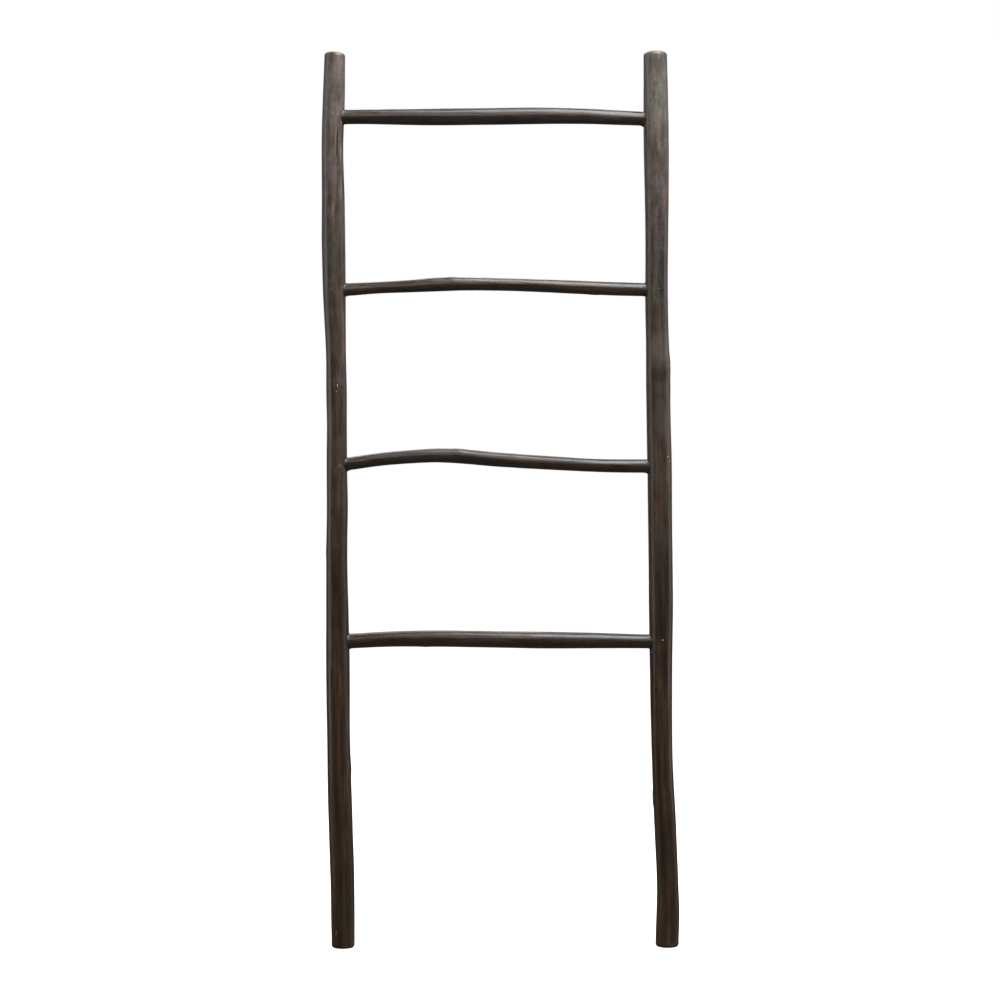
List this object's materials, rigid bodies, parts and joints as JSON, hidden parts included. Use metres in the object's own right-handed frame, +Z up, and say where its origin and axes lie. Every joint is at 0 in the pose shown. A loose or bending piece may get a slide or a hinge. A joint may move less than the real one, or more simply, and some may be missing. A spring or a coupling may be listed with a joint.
{
  "type": "blanket ladder",
  "caption": "Rustic blanket ladder of crooked, dark-stained branch poles: side rails joined by round rungs set in drilled sockets, for hanging quilts and throws.",
  "frame": {"origin": "on the floor midway between the feet, at the bottom centre of the bounding box", "axes": "+Z up along the rails, +X from the left rail to the right rail as seen from the front, +Y from the front to the back; the nails' heads are on the front, -Y"},
  "size_m": [0.7214, 0.0589, 1.8],
  "materials": {
    "rail_wood": "dark stained and waxed natural pole, satin",
    "rung_wood": "dark stained and waxed natural pole, satin",
    "nail_steel": "steel wire nail, stained over with the wood"
  },
  "bodies": {
    "root": {"rail_left": "rail_wood", "rail_right": "rail_wood", "rung_top": "rung_wood", "rung_upper": "rung_wood", "rung_lower": "rung_wood", "rung_bottom": "rung_wood", "nail_top_left": "nail_steel", "nail_top_right": "nail_steel", "nail_upper_left": "nail_steel", "nail_upper_right": "nail_steel", "nail_lower_left": "nail_steel", "nail_lower_right": "nail_steel", "nail_bottom_left": "nail_steel", "nail_bottom_right": "nail_steel"}
  },
  "joints": []
}
